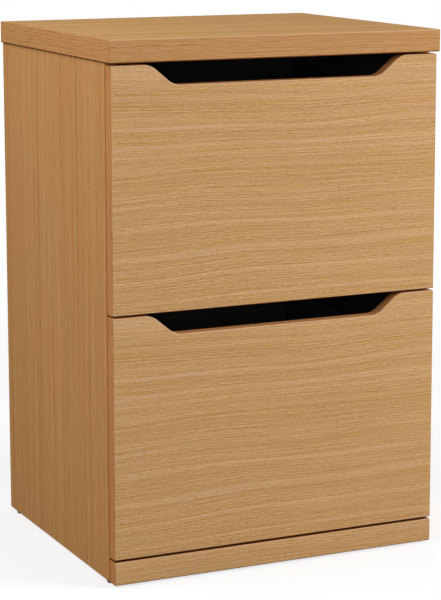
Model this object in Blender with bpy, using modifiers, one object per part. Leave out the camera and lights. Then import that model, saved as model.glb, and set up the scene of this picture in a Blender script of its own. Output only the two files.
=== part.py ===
"""Two-drawer vertical filing cabinet in oak-effect board, on telescopic ball slides.

Metres, +Z up. The origin is on the floor under the middle of the top panel.
The drawers open towards -Y.
"""

from math import cos, radians, sin, tan

import bmesh
import bpy
from mathutils import Quaternion, Vector

# Overall sizes
CABINET_WIDTH = 0.478
CABINET_DEPTH = 0.410
CABINET_HEIGHT = 0.713

# Carcass boards
TOP_THICKNESS = 0.030
TOP_SIDE_OVERHANG = 0.003
TOP_FRONT_OVERHANG = 0.004
SIDE_THICKNESS = 0.018
BASE_THICKNESS = 0.018
BASE_RAISE = 0.010
BACK_THICKNESS = 0.004
BACK_INSET = 0.010
BACK_GROOVE_DEPTH = 0.007
PLINTH_HEIGHT = 0.031

# Drawer fronts, which lie in one plane with the plinth
FRONT_THICKNESS = 0.018
FRONT_STANDOFF = 0.002
FRONT_REVEAL = 0.003

# Finger cut-out in the top edge of a drawer front
CUTOUT_FLOOR_WIDTH = 0.298
CUTOUT_DEPTH = 0.027
CUTOUT_SLOPE = radians(40)
CUTOUT_RIM_RADIUS = 0.025
CUTOUT_FLOOR_RADIUS = 0.025

# Drawer boxes
DRAWER_LENGTH = 0.356
DRAWER_LIFT = 0.014
DRAWER_SIDE_HEIGHT = 0.236
DRAWER_SIDE_THICKNESS = 0.012
DRAWER_BACK_THICKNESS = 0.012
DRAWER_BOTTOM_THICKNESS = 0.004
DRAWER_BOTTOM_RAISE = 0.012
DRAWER_GROOVE_DEPTH = 0.005

# File rails, folded from sheet over the drawer sides
RAIL_SHEET = 0.0012
RAIL_SKIRT = 0.012
RAIL_LIP = 0.011

# Telescopic slides
SLIDE_LENGTH = 0.350
SLIDE_HEIGHT = 0.0455
SLIDE_THICKNESS = 0.0127
SLIDE_SETBACK = 0.003
SLIDE_RISE = 0.070
SLIDE_SHEET = 0.0012
SLIDE_BEND = 0.0012
SLIDE_LIP = 0.0026
CABINET_MEMBER_REACH = 0.0110
MIDDLE_MEMBER_REACH = 0.0115
DRAWER_MEMBER_START = 0.0050
CAGE_LENGTH = 0.150
CAGE_SHEET = 0.0006
BALL_DIAMETER = 0.0035
BALL_COUNT = 4
BALL_SEGMENTS = 6
BALL_RINGS = 4
CAGE_MARGIN = 0.0005
HOLE_COUNT = 3
HOLE_END_DISTANCE = 0.035
SCREW_HOLE_DIAMETER = 0.0045
ACCESS_HOLE_DIAMETER = 0.010
DRAWER_HOLE_SHIFT = 0.012
LEVER_LENGTH = 0.048
LEVER_HEIGHT = 0.009
LEVER_TAIL_HEIGHT = 0.004
LEVER_THICKNESS = 0.0025
LEVER_CORNER = 0.0015
LEVER_FRONT_DISTANCE = 0.100

# Fittings
GLIDE_DIAMETER = 0.012
GLIDE_FOOT_DIAMETER = 0.009
GLIDE_HEIGHT = 0.003
GLIDE_FRONT_INSET = 0.008
GLIDE_REAR_INSET = 0.028
CAM_DIAMETER = 0.015
CAM_DEPTH = 0.0125
CAM_EDGE_DISTANCE = 0.034
CAM_END_DISTANCE = 0.060
CAM_SLOT_WIDTH = 0.0022
CAM_SLOT_LENGTH = 0.010
CAM_SLOT_DEPTH = 0.004

# Fits and finish
SEAT_GAP = 0.0003
BALL_GAP = 0.0003
EDGE_EASE = 0.001
TOP_EASE = 0.0015
PLINTH_EASE = 0.002
THIN_EASE = 0.0004
ARC_STEPS = 6
BEND_STEPS = 2
ROUND_STEPS = 20
HOLE_STEPS = 12
EASE_STEPS = 2
EASE_ANGLE = radians(50)
SMOOTH_ANGLE = radians(40)
WELD_DISTANCE = 0.00001
CUT_MARGIN = 0.005

# Carcass planes worked out from the sizes above
BOARD_BOTTOM = GLIDE_HEIGHT
BOARD_TOP = CABINET_HEIGHT - TOP_THICKNESS
REAR = CABINET_DEPTH / 2
FRONT_FACE = -CABINET_DEPTH / 2 + TOP_FRONT_OVERHANG
FRONT_BACK = FRONT_FACE + FRONT_THICKNESS
SIDE_FRONT = FRONT_BACK + FRONT_STANDOFF
OUTER_HALF = CABINET_WIDTH / 2 - TOP_SIDE_OVERHANG
INNER_HALF = OUTER_HALF - SIDE_THICKNESS
BACK_FRONT = REAR - BACK_INSET - BACK_THICKNESS
BASE_BOTTOM = BOARD_BOTTOM + BASE_RAISE
BASE_TOP = BASE_BOTTOM + BASE_THICKNESS
FRONTS_BOTTOM = BOARD_BOTTOM + PLINTH_HEIGHT + FRONT_REVEAL
FRONT_HEIGHT = (BOARD_TOP - 2 * FRONT_REVEAL - FRONTS_BOTTOM) / 2

# Drawer and slide planes
DRAWER_HALF = INNER_HALF - SLIDE_THICKNESS - 2 * SEAT_GAP
DRAWER_REAR = FRONT_BACK + DRAWER_LENGTH
SLIDE_MIDDLE = SIDE_FRONT + SLIDE_SETBACK + SLIDE_LENGTH / 2
DRAWER_BOTTOMS = {
    "lower": FRONTS_BOTTOM,
    "upper": FRONTS_BOTTOM + FRONT_HEIGHT + FRONT_REVEAL,
}
SIDES = {"left": -1, "right": 1}


def clear_scene():
    for found in list(bpy.data.objects):
        bpy.data.objects.remove(found, do_unlink=True)


def new_collection(name):
    collection = bpy.data.collections.new(name)
    bpy.context.scene.collection.children.link(collection)
    return collection


def new_material(name, colour, roughness, metallic):
    material = bpy.data.materials.new(name)
    material.use_nodes = True
    shader = material.node_tree.nodes["Principled BSDF"]
    shader.inputs["Base Color"].default_value = (*colour, 1.0)
    shader.inputs["Roughness"].default_value = roughness
    shader.inputs["Metallic"].default_value = metallic
    return material


clear_scene()
PARTS = new_collection("filing_cabinet")
CUTTERS = new_collection("cutters")
OAK = new_material("oak_effect_board", (0.56, 0.40, 0.24), 0.45, 0.0)
DARK_BOARD = new_material("black_drawer_board", (0.018, 0.017, 0.016), 0.55, 0.0)
HARDBOARD = new_material("brown_hardboard", (0.20, 0.12, 0.06), 0.70, 0.0)
ZINC = new_material("zinc_plated_steel", (0.62, 0.63, 0.64), 0.32, 1.0)
CAGE_STEEL = new_material("bright_cage_steel", (0.50, 0.50, 0.49), 0.28, 1.0)
RAIL_METAL = new_material("grey_rail_metal", (0.42, 0.43, 0.44), 0.40, 1.0)
CAM_METAL = new_material("die_cast_zinc", (0.55, 0.55, 0.56), 0.45, 1.0)
GLIDE_PLASTIC = new_material("dark_glide_plastic", (0.02, 0.02, 0.022), 0.50, 0.0)
LEVER_PLASTIC = new_material("black_lever_plastic", (0.015, 0.015, 0.015), 0.45, 0.0)


def place(name, data, material, position, parent=None):
    """A part at a position in the world, carried by a parent empty where it moves."""
    part = bpy.data.objects.new(name, data)
    PARTS.objects.link(part)
    data.materials.append(material)
    part.parent = parent
    part.location = position - parent.location if parent else position
    return part


def motion_empty(name, position):
    empty = bpy.data.objects.new(name, None)
    PARTS.objects.link(empty)
    empty.location = position
    empty.empty_display_size = CUTOUT_DEPTH
    return empty


def mesh_from(shape, name):
    mesh = bpy.data.meshes.new(name)
    bmesh.ops.recalc_face_normals(shape, faces=shape.faces)
    shape.to_mesh(mesh)
    shape.free()
    return mesh


def block_mesh(name, size):
    shape = bmesh.new()
    bmesh.ops.create_cube(shape, size=1.0)
    bmesh.ops.scale(shape, vec=size, verts=shape.verts)
    return mesh_from(shape, name)


def disc_mesh(name, diameter, depth):
    shape = bmesh.new()
    radius = diameter / 2
    bmesh.ops.create_cone(
        shape, cap_ends=True, segments=ROUND_STEPS, radius1=radius, radius2=radius, depth=depth
    )
    return mesh_from(shape, name)


def board(name, low, high, material, ease=EDGE_EASE, parent=None):
    """A rectangular board between two corners, with eased edges."""
    low, high = Vector(low), Vector(high)
    part = place(name, block_mesh(name, high - low), material, (low + high) / 2, parent)
    bevel = part.modifiers.new("eased_edges", "BEVEL")
    bevel.width = ease
    bevel.segments = EASE_STEPS
    return part


def make_cutter(name, mesh, position):
    cutter = bpy.data.objects.new(name, mesh)
    CUTTERS.objects.link(cutter)
    cutter.location = position
    cutter.hide_render = True
    cutter.display_type = "WIRE"
    return cutter


def block_cutter(name, low, high):
    low, high = Vector(low), Vector(high)
    return make_cutter(name, block_mesh(name, high - low), (low + high) / 2)


def boolean(part, other, operation="DIFFERENCE"):
    modifier = part.modifiers.new(other.name, "BOOLEAN")
    modifier.operation = operation
    modifier.solver = "EXACT"
    modifier.object = other


def rounded_path(corners, radii):
    """The open path through the corners, with each inner corner turned into an arc of its radius."""
    corners = [Vector(corner) for corner in corners]
    path = [corners[0]]
    for before, corner, after, radius in zip(corners, corners[1:], corners[2:], radii):
        into = (corner - before).normalized()
        out = (after - corner).normalized()
        turn = into.angle(out)
        inward = (out - into * out.dot(into)).normalized()
        start = corner - into * radius * tan(turn / 2)
        centre = start + inward * radius
        steps = ARC_STEPS if radius > SLIDE_BEND else BEND_STEPS
        for step in range(steps + 1):
            angle = turn * step / steps
            path.append(centre + (into * sin(angle) - inward * cos(angle)) * radius)
    path.append(corners[-1])
    return path


def rounded_loop(corners, radius):
    """The closed outline through the corners, with every corner turned into an arc."""
    around = [corners[-1], *corners, corners[0]]
    return rounded_path(around, [radius] * len(corners))[1:-1]


def folded_strip(name, corners, sheet, length, material, position, parent=None):
    """Sheet metal folded along an X-Z path, which is the middle of the sheet, and running along Y."""
    shape = bmesh.new()
    path = rounded_path(corners, [SLIDE_BEND] * (len(corners) - 2))
    points = [shape.verts.new((x, -length / 2, z)) for x, z in path]
    edges = [shape.edges.new(pair) for pair in zip(points, points[1:])]
    swept = bmesh.ops.extrude_edge_only(shape, edges=edges)["geom"]
    moved = [item for item in swept if isinstance(item, bmesh.types.BMVert)]
    bmesh.ops.translate(shape, vec=(0, length, 0), verts=moved)
    strip = place(name, mesh_from(shape, name), material, position, parent)
    wall = strip.modifiers.new("sheet", "SOLIDIFY")
    wall.thickness = sheet
    wall.offset = 0.0
    wall.use_even_offset = True
    return strip


def front_outline():
    """X-Z outline of a drawer front about the middle of its bottom edge, with the finger cut-out."""
    floor_half = CUTOUT_FLOOR_WIDTH / 2
    rim_half = floor_half + CUTOUT_DEPTH / tan(CUTOUT_SLOPE)
    floor = FRONT_HEIGHT - CUTOUT_DEPTH
    top_edge = rounded_path(
        [
            (OUTER_HALF, FRONT_HEIGHT),
            (rim_half, FRONT_HEIGHT),
            (floor_half, floor),
            (-floor_half, floor),
            (-rim_half, FRONT_HEIGHT),
            (-OUTER_HALF, FRONT_HEIGHT),
        ],
        [CUTOUT_RIM_RADIUS, CUTOUT_FLOOR_RADIUS, CUTOUT_FLOOR_RADIUS, CUTOUT_RIM_RADIUS],
    )
    return [*top_edge, Vector((-OUTER_HALF, 0)), Vector((OUTER_HALF, 0))]


def plate_curve(name, outline, thickness):
    """A flat plate in its own X-Y plane, cut along a closed outline."""
    curve = bpy.data.curves.new(name, "CURVE")
    curve.dimensions = "2D"
    curve.fill_mode = "BOTH"
    curve.extrude = thickness / 2
    spline = curve.splines.new("POLY")
    spline.points.add(len(outline) - 1)
    for point, (x, y) in zip(spline.points, outline):
        point.co = (x, y, 0, 1)
    spline.use_cyclic_u = True
    return curve


def drawer_front(name, bottom, parent):
    """A full-overlay front, cut from the outline, standing in the X-Z plane."""
    middle = Vector((0, (FRONT_FACE + FRONT_BACK) / 2, bottom))
    front = place(name, plate_curve(name, front_outline(), FRONT_THICKNESS), OAK, middle, parent)
    front.rotation_euler = (radians(90), 0, 0)
    weld = front.modifiers.new("closed_caps", "WELD")
    weld.merge_threshold = WELD_DISTANCE
    ease = front.modifiers.new("eased_edges", "BEVEL")
    ease.width = EDGE_EASE
    ease.segments = EASE_STEPS
    ease.limit_method = "ANGLE"
    ease.angle_limit = EASE_ANGLE


def cam_lock(name, position, facing, carrier):
    """A die-cast cam in a blind bore of its carrier, with its screwdriver slot flush with the face."""
    turn = facing.to_track_quat("Z", "Y").to_euler()
    face = position - facing * SEAT_GAP
    cam = place(name, disc_mesh(name, CAM_DIAMETER, CAM_DEPTH), CAM_METAL, face - facing * CAM_DEPTH / 2)
    cam.rotation_euler = turn
    cam.data.shade_smooth()
    cam.data.set_sharp_from_angle(angle=SMOOTH_ANGLE)
    slot_size = Vector((CAM_SLOT_LENGTH, CAM_SLOT_WIDTH, 2 * CAM_SLOT_DEPTH))
    slot = make_cutter(name + "_slot", block_mesh(name + "_slot", slot_size), face)
    slot.rotation_euler = turn
    boolean(cam, slot)
    bore_mesh = disc_mesh(name + "_bore", CAM_DIAMETER + 2 * SEAT_GAP, 2 * (CAM_DEPTH + 2 * SEAT_GAP))
    bore = make_cutter(name + "_bore", bore_mesh, position)
    bore.rotation_euler = turn
    boolean(carrier, bore)


def glide(name, x, y):
    """A turned nail-on glide whose flat foot stands on the floor."""
    shape = bmesh.new()
    outer = GLIDE_DIAMETER / 2
    foot = GLIDE_FOOT_DIAMETER / 2
    top = GLIDE_HEIGHT - SEAT_GAP
    profile = [(0, top), (outer, top), (outer, top / 2), (foot, 0), (0, 0)]
    points = [shape.verts.new((r, 0, z)) for r, z in profile]
    for pair in zip(points, points[1:]):
        shape.edges.new(pair)
    mesh = bpy.data.meshes.new(name)
    shape.to_mesh(mesh)
    shape.free()
    part = place(name, mesh, GLIDE_PLASTIC, Vector((x, y, 0)))
    turned = part.modifiers.new("turned", "SCREW")
    turned.steps = ROUND_STEPS
    turned.render_steps = ROUND_STEPS
    turned.use_merge_vertices = True
    turned.merge_threshold = WELD_DISTANCE


def build_carcass():
    half = CABINET_WIDTH / 2
    board("top_panel", (-half, -REAR, BOARD_TOP), (half, REAR, CABINET_HEIGHT), OAK, TOP_EASE)
    groove_half = INNER_HALF + BACK_GROOVE_DEPTH
    back_bottom = BASE_BOTTOM
    back_top = BOARD_TOP - SEAT_GAP
    groove = block_cutter(
        "back_groove",
        (-groove_half - SEAT_GAP, BACK_FRONT - SEAT_GAP, back_bottom - SEAT_GAP),
        (groove_half + SEAT_GAP, REAR - BACK_INSET + SEAT_GAP, BOARD_TOP + CUT_MARGIN),
    )
    board(
        "back_panel",
        (-groove_half, BACK_FRONT, back_bottom),
        (groove_half, REAR - BACK_INSET, back_top),
        HARDBOARD,
        THIN_EASE,
    )
    base = board(
        "base_panel",
        (-INNER_HALF + SEAT_GAP, FRONT_BACK + SEAT_GAP, BASE_BOTTOM),
        (INNER_HALF - SEAT_GAP, BACK_FRONT - SEAT_GAP, BASE_TOP),
        OAK,
    )
    board(
        "plinth_panel",
        (-OUTER_HALF, FRONT_FACE, BOARD_BOTTOM),
        (OUTER_HALF, FRONT_BACK, BOARD_BOTTOM + PLINTH_HEIGHT),
        OAK,
        PLINTH_EASE,
    )
    cam_rows = {"front": SIDE_FRONT + CAM_END_DISTANCE, "rear": BACK_FRONT - CAM_END_DISTANCE}
    glide_rows = {"front": SIDE_FRONT + GLIDE_FRONT_INSET, "rear": REAR - GLIDE_REAR_INSET}
    for hand, sign in SIDES.items():
        inner, outer = sorted((sign * INNER_HALF, sign * OUTER_HALF))
        side = board(
            hand + "_side_panel",
            (inner, SIDE_FRONT, BOARD_BOTTOM),
            (outer, REAR, BOARD_TOP - SEAT_GAP),
            OAK,
        )
        boolean(side, groove)
        for row, y in cam_rows.items():
            high = Vector((sign * INNER_HALF, y, BOARD_TOP - CAM_EDGE_DISTANCE))
            cam_lock(f"{row}_{hand}_top_cam", high, Vector((-sign, 0, 0)), side)
            low = Vector((sign * (INNER_HALF - CAM_EDGE_DISTANCE), y, BASE_BOTTOM))
            cam_lock(f"{row}_{hand}_base_cam", low, Vector((0, 0, -1)), base)
        for row, y in glide_rows.items():
            glide(f"{row}_{hand}_glide", sign * (OUTER_HALF - SIDE_THICKNESS / 2), y)


def build_drawer(level, bottom):
    """Box, front and file rails of one drawer, all carried by the drawer's motion empty."""
    runner = motion_empty(level + "_drawer_motion", Vector((0, FRONT_BACK, bottom)))
    drawer_front(level + "_drawer_front", bottom, runner)
    side_bottom = bottom + DRAWER_LIFT
    side_top = side_bottom + DRAWER_SIDE_HEIGHT
    panel_bottom = side_bottom + DRAWER_BOTTOM_RAISE
    panel_top = panel_bottom + DRAWER_BOTTOM_THICKNESS
    box_front = FRONT_BACK + SEAT_GAP
    box_inner = DRAWER_HALF - DRAWER_SIDE_THICKNESS
    groove_half = box_inner + DRAWER_GROOVE_DEPTH
    groove = block_cutter(
        level + "_bottom_groove",
        (-groove_half - SEAT_GAP, box_front - CUT_MARGIN, panel_bottom - SEAT_GAP),
        (groove_half + SEAT_GAP, DRAWER_REAR + CUT_MARGIN, panel_top + SEAT_GAP),
    )
    board(
        level + "_drawer_bottom",
        (-groove_half, box_front, panel_bottom),
        (groove_half, DRAWER_REAR, panel_top),
        DARK_BOARD,
        THIN_EASE,
        runner,
    )
    board(
        level + "_drawer_back",
        (-box_inner + SEAT_GAP, DRAWER_REAR - DRAWER_BACK_THICKNESS, panel_top + SEAT_GAP),
        (box_inner - SEAT_GAP, DRAWER_REAR, side_top),
        DARK_BOARD,
        parent=runner,
    )
    rail_middle = Vector((0, (box_front + DRAWER_REAR) / 2, side_top))
    rail_fold = SEAT_GAP + RAIL_SHEET / 2
    for hand, sign in SIDES.items():
        near, far = sorted((sign * box_inner, sign * DRAWER_HALF))
        side = board(
            f"{level}_drawer_{hand}_side",
            (near, box_front, side_bottom),
            (far, DRAWER_REAR, side_top),
            DARK_BOARD,
            parent=runner,
        )
        boolean(side, groove)
        outer_x = sign * (DRAWER_HALF + rail_fold)
        inner_x = sign * (box_inner - rail_fold)
        rail_corners = [
            (outer_x, -RAIL_SKIRT),
            (outer_x, rail_fold),
            (inner_x, rail_fold),
            (inner_x, rail_fold + RAIL_LIP),
        ]
        folded_strip(
            f"{level}_{hand}_file_rail",
            rail_corners,
            RAIL_SHEET,
            DRAWER_REAR - box_front,
            RAIL_METAL,
            rail_middle,
            runner,
        )
    return runner


def channel_corners(web, reach, half_height, lip, sign):
    """X-Z corners of a lipped channel that opens from its web towards its reach."""
    upper = [(web, 0), (web, half_height), (reach, half_height), (reach, half_height - lip)]
    lower = [(x, -z) for x, z in upper[1:]]
    return [(sign * x, z) for x, z in [*reversed(upper[1:]), *lower]]


def ball_rows(name, x, half_height, position):
    """Two rows of balls, above and below, joined to the cage that carries them."""
    shape = bmesh.new()
    pitch = CAGE_LENGTH / BALL_COUNT
    for index in range(BALL_COUNT):
        y = (index + 0.5) * pitch - CAGE_LENGTH / 2
        for z in (-half_height, half_height):
            ball = bmesh.ops.create_uvsphere(
                shape, u_segments=BALL_SEGMENTS, v_segments=BALL_RINGS, radius=BALL_DIAMETER / 2
            )
            bmesh.ops.translate(shape, vec=(x, y, z), verts=ball["verts"])
    return make_cutter(name, mesh_from(shape, name), position)


def ball_cage(name, web, reach, half_height, sign, position, parent):
    ball_x = reach - CAGE_MARGIN - BALL_DIAMETER / 2
    corners = [(reach, half_height), (web, half_height), (web, -half_height), (reach, -half_height)]
    corners = [(sign * x, z) for x, z in corners]
    cage = folded_strip(name, corners, CAGE_SHEET, CAGE_LENGTH, CAGE_STEEL, position, parent)
    boolean(cage, ball_rows(name + "_balls", sign * ball_x, half_height, position), "UNION")


def web_holes(member, diameter, shift):
    """A row of round holes through a member's web, from near its front end to near its rear end."""
    shape = bmesh.new()
    first = HOLE_END_DISTANCE - SLIDE_LENGTH / 2
    pitch = (SLIDE_LENGTH - 2 * HOLE_END_DISTANCE) / (HOLE_COUNT - 1)
    across = Quaternion((0, 1, 0), radians(90)).to_matrix()
    for index in range(HOLE_COUNT):
        hole = bmesh.ops.create_cone(
            shape,
            cap_ends=True,
            segments=HOLE_STEPS,
            radius1=diameter / 2,
            radius2=diameter / 2,
            depth=2 * SLIDE_THICKNESS,
        )
        bmesh.ops.rotate(shape, verts=hole["verts"], matrix=across)
        bmesh.ops.translate(shape, vec=(0, first + index * pitch + shift, 0), verts=hole["verts"])
    name = member.name + "_holes"
    position = member.location + (member.parent.location if member.parent else Vector())
    boolean(member, make_cutter(name, mesh_from(shape, name), position))


def release_lever(name, position, parent):
    """The flat lever in the drawer member that frees the drawer from its slide."""
    half = LEVER_LENGTH / 2
    bottom = -LEVER_HEIGHT / 2
    corners = [
        (-half, bottom),
        (half, bottom),
        (half, bottom + LEVER_TAIL_HEIGHT),
        (0, bottom + LEVER_TAIL_HEIGHT),
        (-LEVER_HEIGHT / 2, -bottom),
        (-half, -bottom),
    ]
    plate = plate_curve(name, rounded_loop(corners, LEVER_CORNER), LEVER_THICKNESS)
    lever = place(name, plate, LEVER_PLASTIC, position, parent)
    lever.rotation_euler = (radians(90), 0, radians(90))


def build_slides(level, bottom, runner):
    """Both telescopic slides of one drawer: three nested channels and two ball cages each."""
    half = SLIDE_HEIGHT / 2
    race = BALL_DIAMETER + 2 * BALL_GAP
    fold = SLIDE_SHEET / 2
    middle_half = half - SLIDE_SHEET - race
    drawer_half = middle_half - SLIDE_SHEET - race
    cage_web = SLIDE_SHEET + BALL_GAP + CAGE_SHEET / 2
    middle_web = cage_web + CAGE_SHEET / 2 + BALL_GAP + fold
    inner_cage_web = middle_web + fold + BALL_GAP + CAGE_SHEET / 2
    lip_room = SLIDE_SHEET + BALL_GAP
    slide_z = bottom + DRAWER_LIFT + SLIDE_RISE
    centre = Vector((0, SLIDE_MIDDLE, slide_z))
    middles = motion_empty(level + "_slide_middles_motion", centre)
    outer_cages = motion_empty(level + "_outer_cages_motion", centre)
    inner_cages = motion_empty(level + "_inner_cages_motion", centre)
    drawer_web = SLIDE_THICKNESS - fold
    members = (
        ("cabinet_member", fold, CABINET_MEMBER_REACH - fold, half - fold, None),
        ("middle_member", middle_web, MIDDLE_MEMBER_REACH - fold, middle_half - fold, middles),
        ("drawer_member", drawer_web, DRAWER_MEMBER_START + fold, drawer_half - fold, runner),
    )
    holes = {
        "cabinet_member": (SCREW_HOLE_DIAMETER, 0),
        "middle_member": (ACCESS_HOLE_DIAMETER, 0),
        "drawer_member": (SCREW_HOLE_DIAMETER, DRAWER_HOLE_SHIFT),
    }
    outer_row = middle_half + race / 2
    inner_row = drawer_half + race / 2
    outer_reach = CABINET_MEMBER_REACH - lip_room
    inner_reach = MIDDLE_MEMBER_REACH - lip_room
    lever_x = drawer_web - fold - SEAT_GAP - LEVER_THICKNESS / 2
    lever_y = SLIDE_MIDDLE - SLIDE_LENGTH / 2 + LEVER_FRONT_DISTANCE
    for hand, sign in SIDES.items():
        position = Vector((sign * (INNER_HALF - SEAT_GAP), SLIDE_MIDDLE, slide_z))
        inward = -sign
        for kind, web, reach, height, parent in members:
            corners = channel_corners(web, reach, height, SLIDE_LIP, inward)
            name = f"{level}_{hand}_{kind}"
            member = folded_strip(name, corners, SLIDE_SHEET, SLIDE_LENGTH, ZINC, position, parent)
            web_holes(member, *holes[kind])
        lever_position = Vector((position.x + inward * lever_x, lever_y, slide_z))
        release_lever(f"{level}_{hand}_release_lever", lever_position, runner)
        name = f"{level}_{hand}_outer_cage"
        ball_cage(name, cage_web, outer_reach, outer_row, inward, position, outer_cages)
        name = f"{level}_{hand}_inner_cage"
        ball_cage(name, inner_cage_web, inner_reach, inner_row, inward, position, inner_cages)


build_carcass()
for drawer_level, drawer_bottom in DRAWER_BOTTOMS.items():
    drawer_runner = build_drawer(drawer_level, drawer_bottom)
    build_slides(drawer_level, drawer_bottom, drawer_runner)
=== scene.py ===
"""Finishes, fittings and studio for a two-drawer filing cabinet in oak-effect board.

The file is laid out as an add-on. Its property groups hold the sizes and colours, each operator
makes one group of pieces, and main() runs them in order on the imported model.
"""

from math import cos, pi, radians, sin, tan

import bmesh
import bpy
from bpy.props import FloatProperty, FloatVectorProperty, IntProperty, PointerProperty
from mathutils import Matrix, Vector


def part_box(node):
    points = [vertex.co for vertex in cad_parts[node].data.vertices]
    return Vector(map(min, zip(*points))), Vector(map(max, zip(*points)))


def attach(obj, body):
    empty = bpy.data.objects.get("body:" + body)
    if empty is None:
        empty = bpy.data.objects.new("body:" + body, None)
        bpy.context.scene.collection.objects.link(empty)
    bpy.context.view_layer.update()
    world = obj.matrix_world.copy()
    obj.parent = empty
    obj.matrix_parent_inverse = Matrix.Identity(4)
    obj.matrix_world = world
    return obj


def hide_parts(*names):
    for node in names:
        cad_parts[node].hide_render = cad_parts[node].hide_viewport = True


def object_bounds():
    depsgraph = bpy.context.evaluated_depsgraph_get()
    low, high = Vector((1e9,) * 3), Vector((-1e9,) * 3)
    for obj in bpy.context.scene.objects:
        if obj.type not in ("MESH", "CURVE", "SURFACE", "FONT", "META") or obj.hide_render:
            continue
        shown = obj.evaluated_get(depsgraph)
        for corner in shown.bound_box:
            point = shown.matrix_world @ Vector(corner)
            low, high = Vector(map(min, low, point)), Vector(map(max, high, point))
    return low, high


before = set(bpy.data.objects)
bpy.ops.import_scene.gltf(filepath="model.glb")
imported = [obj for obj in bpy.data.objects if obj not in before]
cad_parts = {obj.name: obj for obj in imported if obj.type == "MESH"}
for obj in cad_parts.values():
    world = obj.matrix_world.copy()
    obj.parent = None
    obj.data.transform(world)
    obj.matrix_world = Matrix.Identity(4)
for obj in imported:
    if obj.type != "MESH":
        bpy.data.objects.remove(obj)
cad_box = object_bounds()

bl_info = {
    "name": "Filing Cabinet Finish",
    "version": (1, 0, 0),
    "blender": (4, 5, 0),
    "location": "View3D > Sidebar > Cabinet",
    "description": "Dresses a two-drawer filing cabinet in oak-effect foil, with its fittings and a studio",
    "category": "Object",
}

LEVELS = ("upper", "lower")
HANDS = {"left": -1, "right": 1}
Y_AXIS, Z_AXIS = 1, 2

# Camera, in the photograph's pixels and the sensor's millimetres
PHOTO_HEIGHT = 600
SENSOR = 36.0

# Place and size of each lamp
LAMPS = {
    "key": ((2.0, -1.7, 1.4), 1.2),
    "back": ((1.5, 2.7, 0.36), 0.6),
    "fill": ((-1.25, 0.2, 2.0), 1.0),
    "side": ((-1.7, -0.9, 1.35), 0.8),
    "front": ((-1.15, -2.45, 0.95), 0.5),
}

# Floor: half its width, its glow at the cabinet, and the squared distances between which it turns white
FLOOR_HALF = 30.0
FLOOR_GLOW = 0.72
FLOOR_FADE = (0.5, 5.0)

# Shares of the growth lines, the broad ribbons, the fine grain and the flecks in a board's foil
FRONT_WEIGHTS = (1.0, 1.0, 1.0, 0.0)
TOP_WEIGHTS = (1.0, 2.0, 1.0, 0.0)
SIDE_WEIGHTS = (0.5, 1.2, 0.26, 0.36)
# How far the growth lines of a side panel wander, as a share of those on the fronts
SIDE_SWAY = 0.4
# Where the grain of a board is measured from, so that no two boards show the same figure
TOP_GRAIN = (0.05, -0.4, 0.2)
PLINTH_GRAIN = (0.1, 0.0, 0.31)
BASE_GRAIN = (0.0, 0.3, 0.0)
# Specular level of the rounded edges
FRONT_EDGE_GLOSS = 0.30
TOP_EDGE_GLOSS = 0.03
PLINTH_EDGE_GLOSS = 0.20

# Wire screen pressed into the hardboard, and the thin coat on its inner face
SCREEN_PITCH = 0.0024
COAT = 0.0001

# Roughness of each metal, then its share of drawn lines and of mottle
ZINC_PLATE = (0.30, 0.9, 0.6)
CAGE_STRIP = (0.26, 0.7, 0.3)
RAIL_SATIN = (0.42, 0.5, 0.4)
CAM_ZINC = (0.46, 0.3, 1.4)

# Meshes: merge distance, angle of a sharp edge, steps of a rounded edge and of a full turn
NEAR = 0.00002
SMOOTH_ANGLE = radians(50)
EASE_STEPS = 3
ROUND_STEPS = 24

# Material slots of a banded board; the last is a dark tint that paints shade on the lower and rear edges
FOIL, BAND, END_BAND, ROUNDED, SHADE_LINE = range(5)
# Part of a face's normal along an axis: nearly all of it, a trace, or a clear lean
FLAT = 0.999
TRACE = 0.001
LEAN = 0.1
# X part of a normal over its Z part, a little more than on the slopes of a cut-out
STEEP = 0.9

# Glides: turns round the rim of the foot, and the chamfer at the top
RIM_TURNS = [radians(degrees) for degrees in (0, 30, 60, 90)]
CHAMFER = 0.0003

# Slides: thickness of their steel, and the screws along each member, measured from its middle
SLIDE_SHEET = 0.0012
CABINET_HOLES = (-0.140, 0.0, 0.140)
DRAWER_HOLES = (-0.128, 0.012, 0.152)

# Heads: height above the seat, then depth of the cross in the top
DRAWER_SLIDE_HEAD = (0.0011, 0.0010)
CARCASS_SLIDE_HEAD = (0.0002, 0.0009)
BOX_SCREW_HEAD = (0.0012, 0.0010)
BACK_SCREW_HEAD = (0.0014, 0.0010)
CAM_HEAD = (0.0004, 0.0003)
RIVET_HEIGHT = 0.0010
# Turn of each head from the one before it
SCREW_TWIST = radians(37)
# Shares of a cross head's radius: its flat crown, and half the width and length of the cross's arms
CROWN = 0.82
ARM_WIDTH = 0.14
ARM_LENGTH = 0.52
# Share of a cross head's height in the slope round its crown, and of the cross's size left at its floor
CROWN_DROP = 0.45
CROSS_TAPER = 0.7
# Profile of a dome, as shares of its radius and its height
DOME = ((0.0, 1.0), (0.45, 0.9), (0.8, 0.55), (1.0, 0.0))

# Places on the drawer boxes and the back panel
CAM_SETBACK = 0.034
CAM_RISES = (0.040, 0.196)
BOX_SCREW_INSET = 0.006
BOX_SCREW_RISES = (0.029, 0.134, 0.211)
RIVET_SHARES = (0.10, 0.50, 0.90)
RIVET_RISE = 0.006
BUMPER_SIDE_INSET = 0.009
BUMPER_END_INSET = 0.020
BACK_SCREW_PLACES = (-0.16, 0.0, 0.16)
BACK_SCREW_RISE = 0.009


def colour(name, description, default):
    return FloatVectorProperty(
        name=name, description=description, subtype="COLOR", size=3, min=0.0, max=1.0, default=default
    )


def length(name, description, default):
    return FloatProperty(name=name, description=description, unit="LENGTH", default=default)


def angle(name, description, degrees):
    return FloatProperty(name=name, description=description, subtype="ANGLE", default=radians(degrees))


def factor(name, description, default):
    return FloatProperty(
        name=name, description=description, subtype="FACTOR", min=0.0, max=1.0, default=default
    )


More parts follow.
